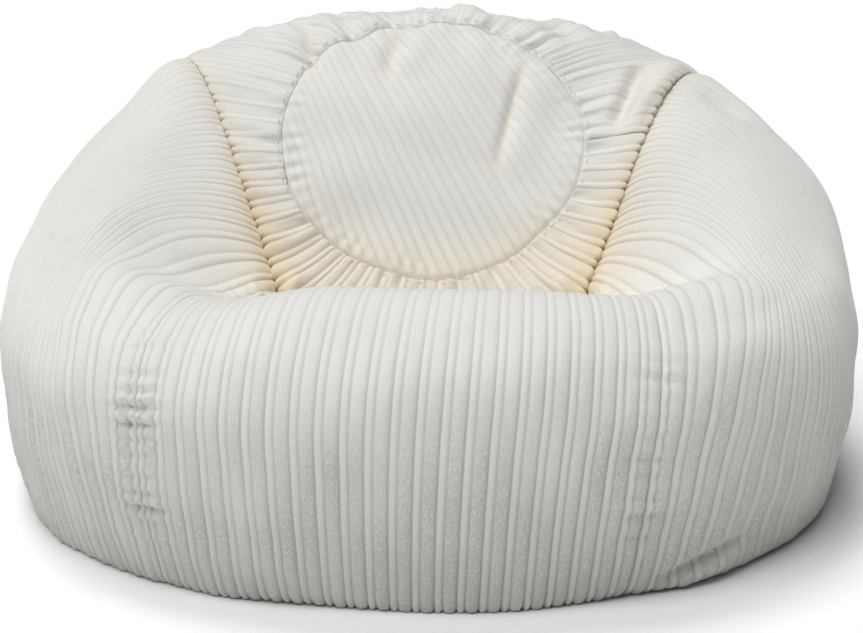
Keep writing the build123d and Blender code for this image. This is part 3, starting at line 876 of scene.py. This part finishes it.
def cord_material():
    """Cream corduroy: nap and crushed pile from noise along the wales, tones from the meshes' marks,
    among them painted shade in the wale valleys, along the V seams and towards the floor, and painted
    warm bounce light.
    """
    m, nodes, links = new_material("jumbo_cord")

    def times(a, b):
        return math_node(nodes, links, "MULTIPLY", a, b)

    def tint(tone, factor, strength, color):
        return mix_color(nodes, links, times(factor, strength), tone, color)

    out = node(nodes, "ShaderNodeOutputMaterial")
    bsdf = node(nodes, "ShaderNodeBsdfPrincipled")
    bsdf.inputs["Roughness"].default_value = 0.92
    bsdf.inputs["Specular IOR Level"].default_value = 0.15
    bsdf.inputs["Sheen Weight"].default_value = 0.35
    bsdf.inputs["Sheen Roughness"].default_value = 0.55
    bsdf.inputs["Sheen Tint"].default_value = (1.0, 0.98, 0.94, 1)
    marks = {k: node(nodes, "ShaderNodeAttribute", attribute_name=k).outputs["Fac"]
             for k in ("wide", "valley", "warm", "crush", "foot", "stitch")}
    cloth = node(nodes, "ShaderNodeAttribute", attribute_name="cloth").outputs["Vector"]
    # nap: fine streaks along the wales
    stretch = node(nodes, "ShaderNodeMapping", vector_type="POINT")
    stretch.inputs["Scale"].default_value = (1500, 420, 1)
    links.new(cloth, stretch.inputs["Vector"])
    nap = node(nodes, "ShaderNodeTexNoise", in_Scale=1.0, in_Detail=3.0, in_Roughness=0.6)
    links.new(stretch.outputs[0], nap.inputs["Vector"])
    # crushed pile: short patches across the wide wales
    patch = node(nodes, "ShaderNodeMapping", vector_type="POINT")
    patch.inputs["Scale"].default_value = (520, 260, 1)
    links.new(cloth, patch.inputs["Vector"])
    crush = node(nodes, "ShaderNodeTexNoise", in_Scale=1.0, in_Detail=4.0, in_Roughness=0.66,
                 in_Distortion=0.3)
    links.new(patch.outputs[0], crush.inputs["Vector"])
    ramp = node(nodes, "ShaderNodeValToRGB")
    ramp.color_ramp.elements[0].position = 0.48
    ramp.color_ramp.elements[1].position = 0.60
    links.new(crush.outputs["Fac"], ramp.inputs["Fac"])
    worn = times(marks["wide"], marks["crush"])
    spots = times(ramp.outputs["Color"], worn)
    cloud = node(nodes, "ShaderNodeTexNoise", in_Scale=1.0, in_Detail=2.0)
    wide_map = node(nodes, "ShaderNodeMapping", vector_type="POINT")
    wide_map.inputs["Scale"].default_value = (9, 9, 1)
    links.new(cloth, wide_map.inputs["Vector"])
    links.new(wide_map.outputs[0], cloud.inputs["Vector"])
    tone = tint(CREAM, cloud.outputs["Fac"], 0.5, CLOUD_TONE)
    # painted shade: the cloth darker and greyer towards the floor
    tone = tint(tone, marks["foot"], 0.60, FOOT_SHADE_TONE)
    tone = tint(tone, nap.outputs["Fac"], 0.35, NAP_TONE)
    tone = tint(tone, spots, 0.60, CRUSH_LIGHT)
    dips = times(math_node(nodes, links, "SUBTRACT", 1.0, ramp.outputs["Color"]), worn)
    tone = tint(tone, dips, 0.55, CRUSH_DARK)
    # painted shade: darker in the wale valleys
    tone = tint(tone, marks["valley"], 0.85, VALLEY_SHADE_TONE)
    tone = tint(tone, marks["warm"], 0.75, WARM)
    # painted shade: dark brown along the V seams
    tone = tint(tone, marks["stitch"], 0.85, NEEDLE_SHADE_TONE)
    links.new(tone, bsdf.inputs["Base Color"])
    crush_height = math_node(nodes, links, "ADD", times(worn, 2.3), 0.25)
    height = math_node(nodes, links, "ADD", times(nap.outputs["Fac"], 0.35),
                       times(crush.outputs["Fac"], crush_height))
    bump = node(nodes, "ShaderNodeBump")
    bump.inputs["Strength"].default_value = 0.75
    bump.inputs["Distance"].default_value = 0.0018
    links.new(height, bump.inputs["Height"])
    links.new(bump.outputs[0], bsdf.inputs["Normal"])
    links.new(bsdf.outputs[0], out.inputs["Surface"])
    return m


def plain_material(name, color, rough, scale, depth, metal=0.0, sheen=0.0):
    """A simple woven, moulded or metal finish with a fine grain."""
    m, nodes, links = new_material(name)
    out = node(nodes, "ShaderNodeOutputMaterial")
    bsdf = node(nodes, "ShaderNodeBsdfPrincipled")
    bsdf.inputs["Roughness"].default_value = rough
    bsdf.inputs["Metallic"].default_value = metal
    bsdf.inputs["Sheen Weight"].default_value = sheen
    place = node(nodes, "ShaderNodeTexCoord")
    grain = node(nodes, "ShaderNodeTexNoise", in_Scale=scale, in_Detail=4.0)
    links.new(place.outputs["Object"], grain.inputs["Vector"])
    dark = tuple(c * 0.82 for c in color[:3]) + (1,)
    tone = mix_color(nodes, links, grain.outputs["Fac"], color, dark)
    links.new(tone, bsdf.inputs["Base Color"])
    bump = node(nodes, "ShaderNodeBump")
    bump.inputs["Strength"].default_value = 0.5
    bump.inputs["Distance"].default_value = depth
    links.new(grain.outputs["Fac"], bump.inputs["Height"])
    links.new(bump.outputs[0], bsdf.inputs["Normal"])
    links.new(bsdf.outputs[0], out.inputs["Surface"])
    return m


cord = cord_material()
pairs = [
    (front_panel, "front_panel"), (sides[-1], "left_side_panel"), (sides[1], "right_side_panel"),
    (backs[-1], "left_back_panel"), (backs[1], "right_back_panel"),
    (round_panel, "round_top_panel"), (border, "gathered_border"),
]
for obj, name in pairs:
    obj.data.materials.append(cord)
    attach(obj, "chair")
    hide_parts(name)

liner_cloth = plain_material("liner_cloth", (0.78, 0.78, 0.76, 1), 0.8, 900, 0.0004)
foam = plain_material("foam_beads", (0.86, 0.86, 0.86, 1), 0.7, 260, 0.003)
base_cloth = plain_material("base_cloth", (0.60, 0.58, 0.53, 1), 0.85, 1400, 0.0004, sheen=0.1)
tape_cloth = plain_material("tape_cloth", (0.66, 0.63, 0.57, 1), 0.8, 1800, 0.0002)
nylon = plain_material("nylon_coil", (0.66, 0.63, 0.57, 1), 0.4, 600, 0.00005)
metal = plain_material("painted_metal", (0.55, 0.53, 0.49, 1), 0.35, 300, 0.00004, metal=0.6)
thread = plain_material("thread", (0.82, 0.81, 0.79, 1), 0.7, 2500, 0.0002, sheen=0.2)

dress = [(liner, "liner_bag", "liner_cloth", liner_cloth), (beads, "bead_fill", "beads", foam),
         (base_front, "base_panel_front", "base_cloth", base_cloth),
         (base_back, "base_panel_back", "base_cloth", base_cloth),
         (stitches, "border_topstitch", "thread", thread)]
dress += [(o, n, k, tape_cloth if k == "zip_tape" else nylon) for o, n, k in zips]
for obj, name, slot_name, material in dress:
    obj.data.materials.append(material)
    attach(obj, "chair")
    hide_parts(name)

# each base half is cut to half of the base outline; the zip tapes are straight woven strips
for prefix in ("cover", "liner"):
    for part in ("zip_slider", "zip_top_stops", "zip_bottom_stop"):
        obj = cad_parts[f"{prefix}_{part}"]
        obj.data.materials.clear()
        obj.data.materials.append(metal)

# ---- floor, light and camera ---------------------------------------------------------------------
bpy.ops.mesh.primitive_plane_add(size=40, location=(0, 0, -0.0002))
floor = bpy.context.object
floor.name = "floor"
fm, nodes, links = new_material("floor_white")
out = node(nodes, "ShaderNodeOutputMaterial")
diffuse = node(nodes, "ShaderNodeBsdfDiffuse", in_Color=(0.95, 0.95, 0.95, 1))
links.new(diffuse.outputs[0], out.inputs["Surface"])
floor.data.materials.append(fm)

SKY = 0.20
world = bpy.data.worlds.new("studio")
bpy.context.scene.world = world
world.use_nodes = True
nodes, links = world.node_tree.nodes, world.node_tree.links
nodes.clear()
coord = node(nodes, "ShaderNodeTexCoord")


def toward(direction, start, end, low, high):
    """World brightness that changes smoothly towards one direction."""
    dot = nodes.new("ShaderNodeVectorMath")
    dot.operation = "DOT_PRODUCT"
    dot.inputs[1].default_value = Vector(direction).normalized()
    links.new(coord.outputs["Generated"], dot.inputs[0])
    ramp = node(nodes, "ShaderNodeMapRange", interpolation_type="SMOOTHSTEP")
    for key, value in (("From Min", start), ("From Max", end), ("To Min", low), ("To Max", high)):
        ramp.inputs[key].default_value = value
    links.new(dot.outputs["Value"], ramp.inputs["Value"])
    return ramp.outputs[0]


sky = math_node(nodes, links, "MULTIPLY", toward((0.85, -0.45, 0.0), -0.5, 0.8, SKY, SKY * 0.25),
                toward((0, 0, 1), 0.0, 0.8, 0.45, 1.35))
back = node(nodes, "ShaderNodeBackground", in_Color=(1, 1, 1, 1))
links.new(sky, back.inputs["Strength"])
world_out = node(nodes, "ShaderNodeOutputWorld")
links.new(back.outputs[0], world_out.inputs["Surface"])


def sun(name, direction, strength, angle):
    light = bpy.data.lights.new(name, "SUN")
    light.energy = strength
    light.angle = math.radians(angle)
    obj = bpy.data.objects.new(name, light)
    obj.rotation_euler = Vector(direction).to_track_quat("Z", "Y").to_euler()
    bpy.context.scene.collection.objects.link(obj)


sun("overhead", (-0.15, 0.28, 0.95), 1.25, 24)
sun("fill", (-0.22, -0.40, 0.87), 1.85, 40)

CAM_DISTANCE, CAM_UP, CAM_PITCH = 3.2, math.radians(16), math.radians(1.24)
SENSOR, FOCAL_PX, PHOTO_WIDTH_PX = 36, 2880, 863
aim = Vector((0, 0, 0.25))
back_dir = Vector((0, -math.cos(CAM_UP), math.sin(CAM_UP)))
cam_data = bpy.data.cameras.new("camera")
cam_data.sensor_width = SENSOR
cam_data.lens = SENSOR * FOCAL_PX / PHOTO_WIDTH_PX
cam = bpy.data.objects.new("camera", cam_data)
cam.location = aim + back_dir * CAM_DISTANCE
cam.rotation_euler = (math.radians(90) - CAM_UP - CAM_PITCH, 0, 0)
bpy.context.scene.collection.objects.link(cam)
bpy.context.scene.camera = cam
bpy.context.scene.view_settings.view_transform = "Standard"
